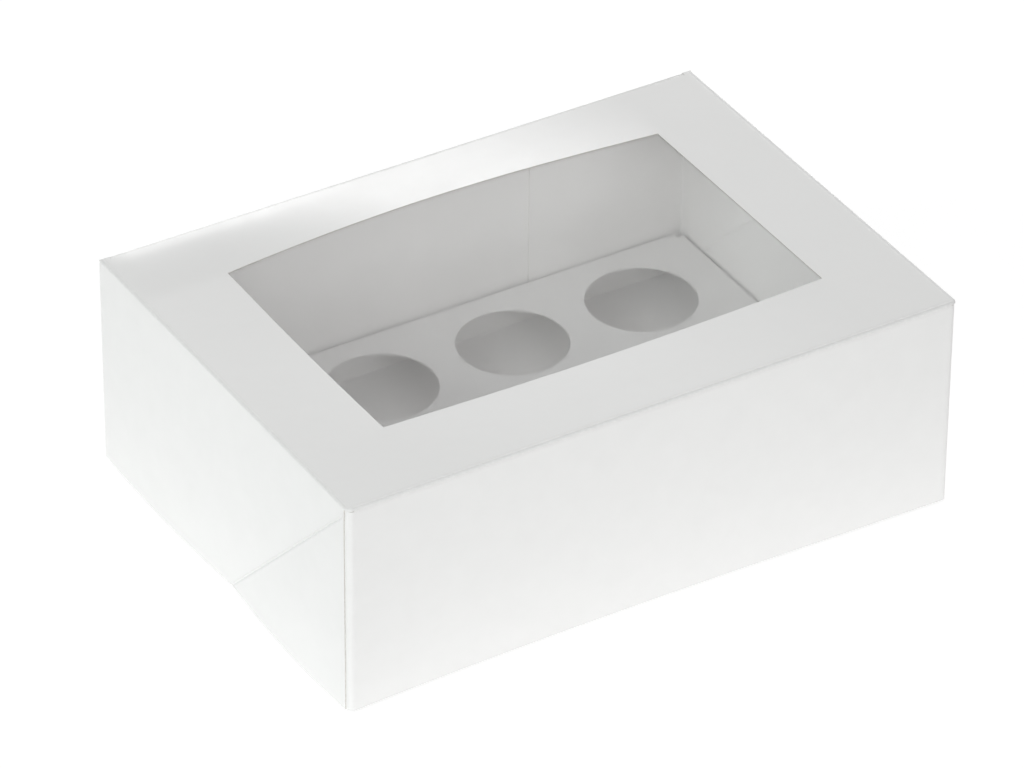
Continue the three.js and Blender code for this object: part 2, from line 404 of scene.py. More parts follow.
def settle(piece: bpy.types.Object, sharp_degrees: float = 40.0) -> bpy.types.Object:
    """Applies a piece's modifiers and shades it smooth between its cut edges.

    Args:
        piece: The piece with its modifiers.
        sharp_degrees: Edges over this angle stay sharp.

    Returns:
        The same piece, with a plain mesh.
    """
    for step in range(2):
        bpy.context.view_layer.update()
        graph = bpy.context.evaluated_depsgraph_get()
        made = bpy.data.meshes.new_from_object(piece.evaluated_get(graph), depsgraph=graph)
        piece.modifiers.clear()
        old = piece.data
        piece.data = made
        made.name = piece.name
        bpy.data.meshes.remove(old)
        if step == 0:
            made.polygons.foreach_set("use_smooth", [True] * len(made.polygons))
            made.set_sharp_from_angle(angle=math.radians(sharp_degrees))
            weighted = piece.modifiers.new("flat panels", "WEIGHTED_NORMAL")
            weighted.keep_sharp = True
    return piece


@dataclass(frozen=True)
class ScoreDip:
    """The shallow dip beside a scored fold, placed by its distance from the fold's outer corner."""

    start: float = 0.0015
    middle: float = 0.00195
    reach: float = 0.0006
    depth: float = 0.00013
    below: float = 0.0036

    @property
    def end(self) -> float:
        """Where the dip ends on the flat board."""
        return self.middle + self.reach

    def at(self, distance: float) -> float:
        """Returns how deep the board lies at a distance from the fold's outer corner."""
        return self.depth * max(0.0, 1 - abs(distance - self.middle) / self.reach)


SCORE = ScoreDip()


@dataclass
class CreaseLine:
    """A pressed crease at 45 degrees: a groove with a ridge beside it, in steps across the line."""

    offsets: tuple[float, ...] = (-0.0019, -0.0012, -0.0006, 0.0, 0.0006, 0.0012, 0.0019)
    depths: tuple[float, ...] = (0.0, -0.00007, 0.00012, 0.00028, 0.00008, -0.00013, 0.0)

    @property
    def reach(self) -> float:
        """How far the crease reaches to each side of its line."""
        return self.offsets[-1]


@dataclass
class LidCard:
    """The lid's sheet: top with its window, front skirt, side skirts and glued front flaps."""

    form: BoxForm
    crease: CreaseLine = field(default_factory=CreaseLine)
    flap_length: float = 0.032
    flap_drop: float = 0.009
    flap_taper: float = 0.003
    pitch: float = 0.0045
    arc_steps: int = 6
    front_columns: int = 22

    def x_lines(self) -> list[float]:
        """Returns the places of the top's grid lines along the box."""
        f = self.form
        turn = f.right - f.board - f.corner
        rim = f.right - f.corner
        cut = f.hinge_half_length + f.hinge_gap
        return stations([-rim, -turn, -cut, *f.window_x, cut, turn, rim], self.pitch)

    def y_lines(self) -> list[float]:
        """Returns the places of the top's grid lines across the box."""
        f = self.form
        rim = f.front + f.corner
        ends = [f.back - f.relief_depth, f.back - f.skirt_edge_gap]
        return stations([rim, rim + f.skirt_edge_gap, *f.window_y, *ends], self.pitch)

    def drops(self) -> list[float]:
        """Returns the depths of the skirts' grid lines under the top."""
        f = self.form
        flap_shoulder = f.fold + f.skirt_edge_gap + self.flap_length + self.flap_drop
        stops = [f.fold, f.fold + f.skirt_edge_gap, SCORE.middle, SCORE.end, SCORE.below, flap_shoulder]
        return stations([*stops, f.skirt_depth], self.pitch)

    def top(self, sheet: Sheet) -> None:
        """Adds the flat top round the window."""
        f = self.form
        xs = self.x_lines()
        ys = self.y_lines()
        rows = [[(x, y, f.height - f.half, 0.0) for x in xs] for y in ys]

        def board_there(i: int, j: int) -> bool:
            """Tells whether a cell lies outside the window and the hinge score."""
            x = (xs[j] + xs[j + 1]) / 2
            y = (ys[i] + ys[i + 1]) / 2
            in_x = f.window_x[0] < x < f.window_x[1]
            in_y = f.window_y[0] < y < f.window_y[1]
            in_score = y > f.back - f.relief_depth and abs(x) < f.hinge_half_length
            return not (in_x and in_y) and not in_score

        sheet.patch(rows, board_there)

    def rim(self, sheet: Sheet) -> None:
        """Adds the scored fold that runs round three sides of the top."""
        f = self.form
        middle_radius = f.fold - f.half
        profile = [(f.corner, f.half, 0.0)]
        for inset, fold in ((SCORE.end, 0.1), (SCORE.middle, 0.6), (SCORE.start, 0.6)):
            profile.append((inset, f.half + SCORE.at(inset), fold))
        for step in range(self.arc_steps + 1):
            angle = math.pi / 2 * step / self.arc_steps
            inset = f.fold - middle_radius * math.sin(angle)
            drop = f.fold - middle_radius * math.cos(angle)
            profile.append((inset, drop, 1.0))
        path: list[Spot] = []
        ys = self.y_lines()
        path += [(-f.right, y, -1.0, 0.0) for y in reversed(ys)]
        path += self.rounded_corner(-1, 180, 270)
        path += [(x, f.front, 0.0, -1.0) for x in self.x_lines()]
        path += self.rounded_corner(1, 270, 360)
        path += [(f.right, y, 1.0, 0.0) for y in ys]
        rows = [
            [(x - nx * inset, y - ny * inset, f.height - drop, fold) for x, y, nx, ny in path]
            for inset, drop, fold in profile
        ]
        sheet.patch(rows)

    def rounded_corner(self, side: int, start: float, end: float) -> list[Spot]:
        """Lists the stations of the fold round one front corner.

        Args:
            side: -1 for the left corner and 1 for the right one.
            start: Bearing of the first station, in degrees.
            end: Bearing of the last station, in degrees.

        Returns:
            Places on the outline, each with its outward direction.
        """
        f = self.form
        found = []
        for step in range(1, 8):
            angle = math.radians(mix(start, end, step / 8))
            nx, ny = math.cos(angle), math.sin(angle)
            x = side * (f.right - f.corner) + nx * f.corner
            y = f.front + f.corner + ny * f.corner
            found.append((x, y, nx, ny))
        return found

    def front_skirt(self, sheet: Sheet) -> None:
        """Adds the front skirt, with its turns and the glued flaps behind the side skirts."""
        f = self.form
        turn = f.right - f.board - f.corner
        xs = [x for x in self.x_lines() if abs(x) <= turn + TOUCH]
        rows = []
        for drop in self.drops():
            y = f.front + f.half + SCORE.at(drop)
            rows.append([(x, y, f.height - drop, share(-drop, -0.003, -f.fold)) for x in xs])
        sheet.patch(rows)
        for side in (-1, 1):
            sheet.patch([self.flap_row(side, drop) for drop in self.drops()[1:]])

    def flap_row(self, side: int, drop: float) -> Row:
        """Lists one row of points round the turn of the front skirt and along its flap.

        Args:
            side: -1 for the left flap and 1 for the right one.
            drop: Depth of the row under the top.

        Returns:
            The points of the row.
        """
        f = self.form
        radius = f.corner - f.half
        centre_x = f.right - f.board - f.corner
        centre_y = f.front + f.corner
        inset = SCORE.at(drop)
        row = []
        for step in range(9):
            angle = math.radians(mix(270, 360, step / 8))
            x = centre_x + (radius - inset) * math.cos(angle)
            row.append((side * x, centre_y + (radius - inset) * math.sin(angle), f.height - drop, 0.3))
        top = f.fold + f.skirt_edge_gap
        shoulder = top + self.flap_length + self.flap_drop
        if drop >= shoulder:
            reach = self.flap_length - self.flap_taper * share(drop, shoulder, f.skirt_depth)
        else:
            reach = self.flap_length * share(drop, top, shoulder)
        x = side * (centre_x + radius - inset)
        row += [(x, centre_y + reach * step / 7, f.height - drop, 0.0) for step in range(1, 8)]
        return row

    def side_skirts(self, sheet: Sheet) -> None:
        """Adds both side skirts with their creases, and the ears at the back."""
        f = self.form
        start = f.corner + f.skirt_edge_gap
        master = [y - f.front for y in self.y_lines() if y - f.front >= start - TOUCH] + [f.width]
        for side in (-1, 1):
            x = side * (f.right - f.half)
            rows = []
            for drop in self.drops():
                down = drop - f.fold
                inwards = SCORE.at(drop)
                crease_start = max(start, down - self.crease.reach)
                crease_end = max(start, down + self.crease.reach)
                row = []
                for step in range(self.front_columns + 1):
                    place = mix(start, crease_start, step / self.front_columns)
                    row.append((x - side * inwards, f.front + place, f.height - drop, 0.0))
                for offset, depth in zip(self.crease.offsets[1:-1], self.crease.depths[1:-1]):
                    place = max(start, down + offset)
                    shown = share(down + offset, start, start + 0.002)
                    inset = inwards + depth * shown
                    row.append((x - side * inset, f.front + place, f.height - drop, 0.7 * shown))
                for place in master:
                    part = (place - start) / (f.width - start)
                    place = mix(crease_end, f.width, part)
                    row.append((x - side * inwards, f.front + place, f.height - drop, 0.0))
                rows.append(row)
            sheet.patch(rows)
            ear = [
                [(x, f.front + place, f.height - drop, 0.0) for place in master[-2:]]
                for drop in (f.fold, f.fold * 0.67, f.half)
            ]
            sheet.patch(ear)

    def build(self, materials: Sequence[bpy.types.Material]) -> bpy.types.Object:
        """Builds the lid.

        Args:
            materials: Finish of the outer face, of the inner face and of the cut edge.

        Returns:
            The finished lid.
        """
        sheet = Sheet("lid_card", self.form.bend)
        self.top(sheet)
        self.rim(sheet)
        self.front_skirt(sheet)
        self.side_skirts(sheet)
        outwards(sheet, Vector((0, 0, 1)))
        return settle(sheet.close(self.form.board, materials))


@dataclass
class TrayCard:
    """The tray's sheet: floor, four walls and the glued flap inside each corner."""

    form: BoxForm
    crease: CreaseLine = field(default_factory=CreaseLine)
    flap_length: float = 0.0896
    flap_drop: float = 0.002
    pitch: float = 0.006
    arc_steps: int = 6
    front_columns: int = 18

    @property
    def y_ends(self) -> tuple[float, float]:
        """Outside of the front wall and of the back wall."""
        return self.form.tray_front, self.form.back

    def x_lines(self) -> list[float]:
        """Returns the places of the floor's grid lines along the box."""
        reach = self.form.tray_right - self.form.fold
        return stations([-reach, reach], self.pitch)

    def y_lines(self) -> list[float]:
        """Returns the places of the floor's grid lines across the box."""
        f = self.form
        low, high = self.y_ends
        turn = f.fold + f.board
        return stations([low + f.fold, low + turn, high - turn, high - f.fold], self.pitch)

    def heights(self) -> list[float]:
        """Returns the heights of the walls' grid lines over the bottom fold."""
        f = self.form
        return stations([f.fold, f.fold + f.skirt_edge_gap, 0.0026, f.wall_top], self.pitch)

    def fold_profile(self) -> list[Triple]:
        """Lists inset, height and fold of the lines from the floor's edge up the wall."""
        f = self.form
        radius = f.fold - f.half
        found = []
        for step in range(self.arc_steps + 1):
            angle = math.pi / 2 * step / self.arc_steps
            found.append((f.fold - radius * math.sin(angle), f.fold - radius * math.cos(angle), 1.0))
        found += [(f.half, height, 0.0) for height in self.heights()[1:]]
        return found

    def floor(self, sheet: Sheet) -> None:
        """Adds the floor."""
        sheet.patch([[(x, y, self.form.half, 0.0) for x in self.x_lines()] for y in self.y_lines()])

    def long_walls(self, sheet: Sheet) -> None:
        """Adds the front wall and the back wall, out to their cut ends."""
        f = self.form
        xs = self.x_lines()
        end = f.tray_right - f.half
        for outside, inward in ((self.y_ends[0], 1), (self.y_ends[1], -1)):
            lines = [(outside + inward * inset, z, fold) for inset, z, fold in self.fold_profile()]
            sheet.patch([[(x, y, z, fold) for x in xs] for y, z, fold in lines])
            upper = [(outside + inward * f.half, z) for z in self.heights()[1:]]
            for side in (-1, 1):
                sheet.patch([[(side * xs[-1], y, z, 0.0), (side * end, y, z, 0.0)] for y, z in upper])

    def end_walls(self, sheet: Sheet) -> None:
        """Adds both end walls, each with a crease from both bottom corners."""
        f = self.form
        low, high = self.y_ends
        turn = f.fold + f.board
        span = high - low - 2 * turn
        master = [y - low - turn for y in self.y_lines() if low + turn - TOUCH <= y <= high - turn + TOUCH]
        for side in (-1, 1):
            rows = []
            for inset, z, fold in self.fold_profile():
                down = z - turn
                near = max(0.0, down - self.crease.reach)
                far = max(0.0, down + self.crease.reach)
                places = []
                for step in range(self.front_columns + 1):
                    places.append((near * step / self.front_columns, 0.0))
                for offset, depth in zip(self.crease.offsets[1:-1], self.crease.depths[1:-1]):
                    shown = share(down + offset, 0.0, 0.002)
                    places.append((max(0.0, down + offset), depth * shown))
                middle = [(mix(far, span - far, place / span), 0.0) for place in master]
                mirrored = [(span - place, depth) for place, depth in reversed(places)]
                row = []
                for place, depth in places + middle + mirrored:
                    row.append((side * (f.tray_right - inset - depth), low + turn + place, z, fold))
                rows.append(row)
            sheet.patch(rows)

    def corner_flaps(self, sheet: Sheet) -> None:
        """Adds the four turns of the end walls and the glued flaps behind the long walls."""
        f = self.form
        radius = f.fold - f.half
        for side in (-1, 1):
            for outside, inward in ((self.y_ends[0], 1), (self.y_ends[1], -1)):
                centre_x = f.tray_right - f.fold
                centre_y = outside + inward * (f.board + f.fold)
                rows = []
                for z in self.heights()[1:]:
                    row = []
                    for step in range(7):
                        angle = math.pi / 2 * step / 6
                        x = centre_x + radius * math.cos(angle)
                        row.append((side * x, centre_y - inward * radius * math.sin(angle), z, 0.5))
                    free = f.tray_right - self.flap_length
                    for step in range(1, 15):
                        x = mix(centre_x, free, step / 14)
                        lowered = self.flap_drop * min(1.0, step / 2)
                        height = mix(z, z - lowered, share(z, f.fold, f.wall_top))
                        row.append((side * x, centre_y - inward * radius, height, 0.0))
                    rows.append(row)
                sheet.patch(rows)

    def build(self, materials: Sequence[bpy.types.Material]) -> bpy.types.Object:
        """Builds the tray.

        Args:
            materials: Finish of the outer face, of the inner face and of the cut edge.

        Returns:
            The finished tray.
        """
        sheet = Sheet("tray_card", self.form.stay)
        self.floor(sheet)
        self.long_walls(sheet)
        self.end_walls(sheet)
        self.corner_flaps(sheet)
        outwards(sheet, Vector((0, 0, -1)))
        return settle(sheet.close(self.form.board, materials))


@dataclass
class HingeScore:
    """The scored strip of the sheet between the back wall and the lid's top."""

    form: BoxForm
    pitch: float = 0.0045
    arc_steps: int = 6

    def build(self, materials: Sequence[bpy.types.Material]) -> bpy.types.Object:
        """Builds the strip over its fold.

        Args:
            materials: Finish of the outer face, of the inner face and of the cut edge.

        Returns:
            The finished strip.
        """
        f = self.form
        radius = f.fold - f.half
        profile = [(f.relief_depth, f.half, 0.0)]
        slope = SCORE.middle + SCORE.reach / 2
        profile += [(inset, f.half + SCORE.at(inset), 0.5) for inset in (slope, SCORE.middle, SCORE.start)]
        for step in range(self.arc_steps + 1):
            angle = math.pi / 2 * step / self.arc_steps
            profile.append((f.fold - radius * math.sin(angle), f.fold - radius * math.cos(angle), 1.0))
        profile.append((f.half, f.height - f.wall_top, 0.3))
        sheet = Sheet("hinge_score", f.bend)
        xs = stations([-f.hinge_half_length, *f.window_x, f.hinge_half_length], self.pitch)
        lines = [(f.back - inset, f.height - drop, fold) for inset, drop, fold in profile]
        sheet.patch([[(x, y, z, fold) for x in xs] for y, z, fold in lines])
        outwards(sheet, Vector((0, 0.3, 1)))
        return settle(sheet.close(f.board, materials))


@dataclass
class WindowFilm:
    """The clear film glued behind the window."""

    form: BoxForm
    thickness: float = 0.0001
    glue: float = 0.0001
    ripple: float = 0.00016
    pitch: float = 0.004

    def height_at(self, x: float, y: float) -> float:
        """Returns the height of the film's middle at a place, with its faint ripples."""
        f = self.form
        flat = f.height - f.board - self.glue - self.thickness / 2
        inside = min(
            share(x, f.window_x[0], f.window_x[0] + 0.03),
            share(-x, -f.window_x[1], -f.window_x[1] + 0.03),
            share(y, f.window_y[0], f.window_y[0] + 0.03),
            share(-y, -f.window_y[1], -f.window_y[1] + 0.03),
        )
        wave = math.sin(58 * x + 31 * y) + 0.6 * math.sin(83 * x - 52 * y + 1.3) + 0.4 * math.sin(120 * y + 2)
        return flat + f.top_lift(x, y) - self.ripple * inside * (1 + 0.5 * wave)

    def build(self, material: bpy.types.Material) -> bpy.types.Object:
        """Builds the film.

        Args:
            material: The clear finish.

        Returns:
            The finished film.
        """
        f = self.form
        edge = f.film_overlap
        xs = stations([f.window_x[0] - edge, *f.window_x, f.window_x[1] + edge], self.pitch)
        ys = stations([f.window_y[0] - edge, *f.window_y, f.window_y[1] + edge], self.pitch)
        sheet = Sheet("window_film_clear", f.stay)
        sheet.patch([[(x, y, self.height_at(x, y), 0.0) for x in xs] for y in ys])
        outwards(sheet, Vector((0, 0, 1)))
        return settle(sheet.close(self.thickness, [material] * 3))


@dataclass
class InsertCard:
    """The insert: a plate with a grid of round holes on four folded edges."""

    form: BoxForm
    rise: float = 0.022
    room: float = 0.0012
    corner_cut: float = 0.004
    hole_radius: float = 0.0282
    columns: int = 4
    rows: int = 3
    column_pitch: float = 0.074
    row_pitch: float = 0.071

    def hole_tree(self) -> bpy.types.NodeTree:
        """Builds the node tree that fills an outline and leaves a grid of round holes in it."""
        tree = bpy.data.node_groups.new("card with holes", "GeometryNodeTree")
        face = tree.interface
        face.new_socket("Outline", in_out="INPUT", socket_type="NodeSocketGeometry")
        kinds = {
            "Columns": "Int", "Rows": "Int", "Column Span": "Float", "Row Span": "Float",
            "Hole Radius": "Float", "Middle": "Vector", "Card": "Material",
        }
        for name, kind in kinds.items():
            face.new_socket(name, in_out="INPUT", socket_type="NodeSocket" + kind)
        face.new_socket("Plate", in_out="OUTPUT", socket_type="NodeSocketGeometry")
        nodes, links = tree.nodes, tree.links
        entry = nodes.new("NodeGroupInput")
        grid = nodes.new("GeometryNodeMeshGrid")
        links.new(entry.outputs["Column Span"], grid.inputs["Size X"])
        links.new(entry.outputs["Row Span"], grid.inputs["Size Y"])
        links.new(entry.outputs["Columns"], grid.inputs["Vertices X"])
        links.new(entry.outputs["Rows"], grid.inputs["Vertices Y"])
        centre = nodes.new("GeometryNodeTransform")
        links.new(grid.outputs["Mesh"], centre.inputs["Geometry"])
        links.new(entry.outputs["Middle"], centre.inputs["Translation"])
        circle = nodes.new("GeometryNodeCurvePrimitiveCircle")
        circle.inputs["Resolution"].default_value = 72
        links.new(entry.outputs["Hole Radius"], circle.inputs["Radius"])
        holes = nodes.new("GeometryNodeInstanceOnPoints")
        links.new(centre.outputs["Geometry"], holes.inputs["Points"])
        links.new(circle.outputs["Curve"], holes.inputs["Instance"])
        rings = nodes.new("GeometryNodeRealizeInstances")
        join = nodes.new("GeometryNodeJoinGeometry")
        fill = nodes.new("GeometryNodeFillCurve")
        loose = nodes.new("GeometryNodeRealizeInstances")
        finish = nodes.new("GeometryNodeSetMaterial")
        leave = nodes.new("NodeGroupOutput")
        links.new(holes.outputs["Instances"], rings.inputs["Geometry"])
        links.new(rings.outputs["Geometry"], join.inputs["Geometry"])
        links.new(entry.outputs["Outline"], join.inputs["Geometry"])
        links.new(join.outputs["Geometry"], fill.inputs["Curve"])
        links.new(fill.outputs["Mesh"], loose.inputs["Geometry"])
        links.new(loose.outputs["Geometry"], finish.inputs["Geometry"])
        links.new(entry.outputs["Card"], finish.inputs["Material"])
        links.new(finish.outputs["Geometry"], leave.inputs["Plate"])
        return tree

    def plate(self, outline: list[tuple[float, float]], card: bpy.types.Material) -> bpy.types.Mesh:
        """Makes the flat plate with its holes.

        Args:
            outline: The plate's outline, point by point.
            card: Finish of the plate.

        Returns:
            The plate as a plain mesh at height 0.
        """
        curve = bpy.data.curves.new("plate_outline", "CURVE")
        curve.dimensions = "3D"
        line = curve.splines.new("POLY")
        line.points.add(len(outline) - 1)
        for point, (x, y) in zip(line.points, outline):
            point.co = (x, y, 0, 1)
        line.use_cyclic_u = True
        holder = bpy.data.objects.new("plate_outline", curve)
        bpy.context.scene.collection.objects.link(holder)
        tree = self.hole_tree()
        modifier = holder.modifiers.new("holes", "NODES")
        modifier.node_group = tree
        values = {
            "Columns": self.columns,
            "Rows": self.rows,
            "Column Span": (self.columns - 1) * self.column_pitch,
            "Row Span": (self.rows - 1) * self.row_pitch,
            "Hole Radius": self.hole_radius,
            "Middle": (0.0, (self.form.tray_front + self.form.back) / 2, 0.0),
            "Card": card,
        }
        for item in tree.interface.items_tree:
            if item.name in values:
                modifier[item.identifier] = values[item.name]
        bpy.context.view_layer.update()
        graph = bpy.context.evaluated_depsgraph_get()
        made = bpy.data.meshes.new_from_object(holder.evaluated_get(graph), depsgraph=graph)
        bpy.data.objects.remove(holder)
        return made

    def build(self, materials: Sequence[bpy.types.Material]) -> bpy.types.Object:
        """Builds the insert.

        Args:
            materials: Finish of the upper face, of the under face and of the cut edge.

        Returns:
            The finished insert.
        """
        f = self.form
        hx = f.tray_right - f.board - self.room
        hy = (f.back - f.tray_front - 4 * f.board) / 2 - self.room
        cy = (f.tray_front + f.back) / 2
        top = f.board + self.rise
        ex, ey = hx - self.corner_cut, hy - self.corner_cut
        bx, by = hx - f.fold, hy - f.fold
        xs = stations([-ex, ex], 0.011)
        ys = stations([-ey, ey], 0.011)
        outline = [(x, cy - by) for x in xs] + [(ex, cy - ey)] + [(bx, cy + y) for y in ys] + [(ex, cy + ey)]
        outline += [(x, cy + by) for x in reversed(xs)] + [(-ex, cy + ey)]
        outline += [(-bx, cy + y) for y in reversed(ys)] + [(-ex, cy - ey)]
        flat = self.plate(outline, materials[0])
        flat.transform(Matrix.Translation((0, 0, top - f.half)))
        sheet = Sheet("insert_card", f.stay)
        sheet.add_mesh(flat)
        bpy.data.meshes.remove(flat)
        radius = f.fold - f.half
        profile = []
        for step in range(7):
            angle = math.pi / 12 * step
            profile.append((f.fold - radius * math.sin(angle), f.fold - radius * math.cos(angle), 1.0))
        profile.append((f.half, self.rise, 0.0))
        for side in (-1, 1):
            sheet.patch([[(x, cy + side * (hy - i), top - d, fold) for x in xs] for i, d, fold in profile])
            sheet.patch([[(side * (hx - i), cy + y, top - d, fold) for y in ys] for i, d, fold in profile])
        outwards(sheet, Vector((ex, cy + ey - 0.002, 1)))
        return settle(sheet.close(f.board, materials))


class Nodes:
    """Short ways to place shader nodes in a tree."""

    def __init__(self, tree: bpy.types.NodeTree) -> None:
        """Keeps the tree that nodes are added to."""
        self.tree = tree

    def add(self, kind: str, links: dict | None = None, **settings: object) -> bpy.types.Node:
        """Adds a node.

        Args:
            kind: The node's type.
            links: Input name or number to a socket or a plain value.
            settings: Properties of the node.

        Returns:
            The new node.
        """
        node = self.tree.nodes.new(kind)
        for name, value in settings.items():
            setattr(node, name, value)
        for key, value in (links or {}).items():
            if isinstance(value, bpy.types.NodeSocket):
                self.tree.links.new(value, node.inputs[key])
            else:
                node.inputs[key].default_value = value
        return node

    def math(self, operation: str, *values: object) -> bpy.types.NodeSocket:
        """Adds a math node and returns its value."""
        return self.add("ShaderNodeMath", dict(enumerate(values)), operation=operation).outputs[0]

    def spread(
        self, value: object, low: float, high: float, start: object, end: object
    ) -> bpy.types.NodeSocket:
        """Adds a node that maps low..high to start..end and returns its value."""
        return self.add("ShaderNodeMapRange", {0: value, 1: low, 2: high, 3: start, 4: end}).outputs[0]

    def noise(self, place: object, scale: object, **more: float) -> bpy.types.NodeSocket:
        """Adds a noise texture and returns its value."""
        return self.add("ShaderNodeTexNoise", {"Vector": place, "Scale": scale, **more}).outputs[0]

    def white_to_eyes(self) -> bpy.types.NodeSocket:
        """Returns 1 for what the camera sees, straight, in a gloss or through the film."""
        seen = self.add("ShaderNodeLightPath").outputs
        in_gloss_or_film = self.math("MAXIMUM", seen["Is Glossy Ray"], seen["Is Transmission Ray"])
        return self.math("MAXIMUM", seen["Is Camera Ray"], in_gloss_or_film)

    def blend(self, factor: object, first: object, second: object) -> bpy.types.NodeSocket:
        """Adds a colour mix and returns its colour."""
        node = self.add("ShaderNodeMix", {0: factor, 6: first, 7: second}, data_type="RGBA")
        return node.outputs[2]


def card_surface_group() -> bpy.types.NodeTree:
    """Builds the shared look of card: mottle, fibres, slow waves, flecks, and wear at the folds, whose colour
    also carries painted shade where a finish darkens along the fold roundings.
    """
    tree = bpy.data.node_groups.new("card surface", "ShaderNodeTree")
    face = tree.interface
    for name, kind, value in (
        ("Clean", "Color", (0.8, 0.8, 0.8, 1)), ("Mottled", "Color", (0.75, 0.75, 0.75, 1)),
        ("Fleck", "Color", (0.5, 0.45, 0.4, 1)), ("Worn And Shade", "Color", (0.9, 0.9, 0.9, 1)),
        ("Mottle Scale", "Float", 60.0), ("Fibre Scale", "Float", 900.0), ("Fleck Share", "Float", 0.02),
        ("Fibre Height", "Float", 0.3), ("Wave Height", "Float", 1.0),
        ("Smoothest", "Float", 0.45), ("Roughest", "Float", 0.6),
    ):
        socket = face.new_socket(name, in_out="INPUT", socket_type="NodeSocket" + kind)
        socket.default_value = value
    for name, kind in (("Color", "Color"), ("Roughness", "Float"), ("Height", "Float")):
        face.new_socket(name, in_out="OUTPUT", socket_type="NodeSocket" + kind)
    n = Nodes(tree)
    entry = n.add("NodeGroupInput").outputs
    place = n.add("ShaderNodeTexCoord").outputs["Object"]
    mottle = n.noise(place, entry["Mottle Scale"], Detail=5.0, Roughness=0.6)
    stretched = n.add("ShaderNodeMapping", {"Vector": place, "Scale": (0.3, 1.0, 1.0)}).outputs[0]
    fibre = n.noise(stretched, entry["Fibre Scale"], Detail=3.0)
    wave = n.noise(place, 17.0, Detail=1.0)
    cells = n.add("ShaderNodeTexVoronoi", {"Vector": place, "Scale": 55.0})
    luck = n.add("ShaderNodeSeparateColor", {0: cells.outputs["Color"]}).outputs[0]
    small = n.math("LESS_THAN", cells.outputs["Distance"], 0.03)
    fleck = n.math("MULTIPLY", small, n.math("LESS_THAN", luck, entry["Fleck Share"]))
    fold = n.add("ShaderNodeAttribute", attribute_name="fold").outputs["Fac"]
    hair = n.noise(place, 420.0, Detail=6.0, Roughness=0.7)
    # Mask along the folds: real wear, and painted shade where a finish gives its folds a darker colour.
    worn_and_shade = n.math("MULTIPLY", fold, n.spread(hair, 0.3, 0.55, 0.0, 1.0))
    soft = n.spread(mottle, 0.3, 0.7, 0.0, 1.0)
    colour = n.blend(soft, entry["Clean"], entry["Mottled"])
    colour = n.blend(worn_and_shade, colour, entry["Worn And Shade"])
    colour = n.blend(fleck, colour, entry["Fleck"])
    rough = n.spread(mottle, 0.3, 0.7, entry["Smoothest"], entry["Roughest"])
    rough = n.math("MULTIPLY_ADD", worn_and_shade, 0.15, rough)
    height = n.math("MULTIPLY", fibre, entry["Fibre Height"])
    height = n.math("MULTIPLY_ADD", wave, entry["Wave Height"], height)
    height = n.math("MULTIPLY_ADD", worn_and_shade, 0.25, height)
    n.add("NodeGroupOutput", {"Color": colour, "Roughness": rough, "Height": height})
    return tree


@dataclass(frozen=True)
class CardFinish:
    """One finish of card: its colours, how rough it is and how deep its relief."""

    name: str
    clean: Triple
    mottled: Triple
    worn_and_shade: Triple
    fleck: Triple = (0.42, 0.38, 0.33)
    mottle_scale: float = 70.0
    fibre_scale: float = 1100.0
    fleck_share: float = 0.02
    fibre_height: float = 0.25
    wave_height: float = 5.0
    smoothest: float = 0.3
    roughest: float = 0.36
    relief: float = 0.00004

    def build(self, group: bpy.types.NodeTree) -> bpy.types.Material:
        """Builds the material.

        Args:
            group: The shared card surface.

        Returns:
            The material.
        """
        material = bpy.data.materials.new(self.name)
        material.use_nodes = True
        material.node_tree.nodes.clear()
        n = Nodes(material.node_tree)
        values = {
            "Clean": (*self.clean, 1), "Mottled": (*self.mottled, 1), "Fleck": (*self.fleck, 1),
            "Worn And Shade": (*self.worn_and_shade, 1), "Mottle Scale": self.mottle_scale, "Fibre Scale": self.fibre_scale,
            "Fleck Share": self.fleck_share, "Fibre Height": self.fibre_height,
            "Wave Height": self.wave_height, "Smoothest": self.smoothest, "Roughest": self.roughest,
        }
        card = n.add("ShaderNodeGroup", node_tree=group)
        for name, value in values.items():
            card.inputs[name].default_value = value
        bump = n.add("ShaderNodeBump", {
            "Height": card.outputs["Height"], "Strength": 1.0, "Distance": self.relief,
        })
        shader = n.add("ShaderNodeBsdfPrincipled", {
            "Base Color": card.outputs["Color"], "Roughness": card.outputs["Roughness"],
            "Normal": bump.outputs["Normal"], "Specular IOR Level": 0.45,
        })
        n.add("ShaderNodeOutputMaterial", {"Surface": shader.outputs[0]})
        return material


@dataclass(frozen=True)
class FilmFinish:
    """The clear film: thin, glossy and all but unseen."""

    name: str = "clear_window_film"
    tint: Triple = (0.985, 0.99, 0.99)
    clean_roughness: float = 0.02
    smear_roughness: float = 0.06
    relief: float = 0.0004
    index: float = 1.45

    def build(self) -> bpy.types.Material:
        """Builds the material, which lets lamplight straight through."""
        material = bpy.data.materials.new(self.name)
        material.use_nodes = True
        material.node_tree.nodes.clear()
        n = Nodes(material.node_tree)
        place = n.add("ShaderNodeTexCoord").outputs["Object"]
        wave = n.noise(place, 26.0, Detail=2.0)
        smear = n.noise(place, 90.0, Detail=4.0)
        rough = n.spread(smear, 0.4, 0.7, self.clean_roughness, self.smear_roughness)
        bump = n.add("ShaderNodeBump", {"Height": wave, "Strength": 0.4, "Distance": self.relief})
        clear = n.add("ShaderNodeBsdfPrincipled", {
            "Base Color": (*self.tint, 1), "Roughness": rough, "Transmission Weight": 1.0,
            "IOR": self.index, "Normal": bump.outputs["Normal"],
        })
        through = n.add("ShaderNodeBsdfTransparent", {"Color": (*self.tint, 1)})
        path = n.add("ShaderNodeLightPath").outputs
        lit = n.math("MAXIMUM", path["Is Shadow Ray"], path["Is Diffuse Ray"])
        both = n.add("ShaderNodeMixShader", {0: lit, 1: clear.outputs[0], 2: through.outputs[0]})
        n.add("ShaderNodeOutputMaterial", {"Surface": both.outputs[0]})
        return material


